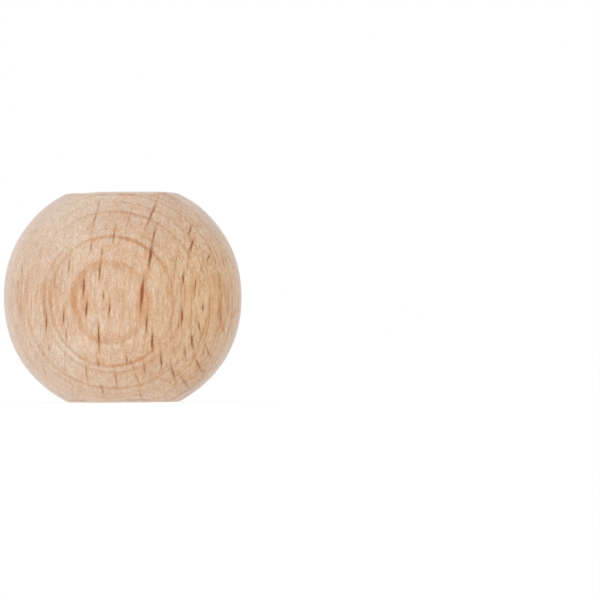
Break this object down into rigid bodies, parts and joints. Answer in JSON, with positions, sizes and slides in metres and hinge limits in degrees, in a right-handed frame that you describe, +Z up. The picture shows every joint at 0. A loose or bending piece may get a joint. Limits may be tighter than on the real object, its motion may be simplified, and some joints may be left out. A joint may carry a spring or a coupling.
{
  "type": "wooden ball",
  "caption": "Turned wooden ball with a flat at each end and a plain bore from flat to flat, for stringing, fitting on a dowel or use as a foot or finial.",
  "frame": {"origin": "centre of the lower flat, on which the ball stands, where the bore's axis meets the surface below", "axes": "+Z up along the bore's axis and the wood's grain; the ball is turned, so +X and +Y are alike in shape; the growth rings crown towards -Y"},
  "size_m": [0.025, 0.025, 0.022],
  "materials": {
    "beech": "turned and sanded beech, unfinished"
  },
  "bodies": {
    "root": {"ball": "beech"}
  },
  "joints": []
}
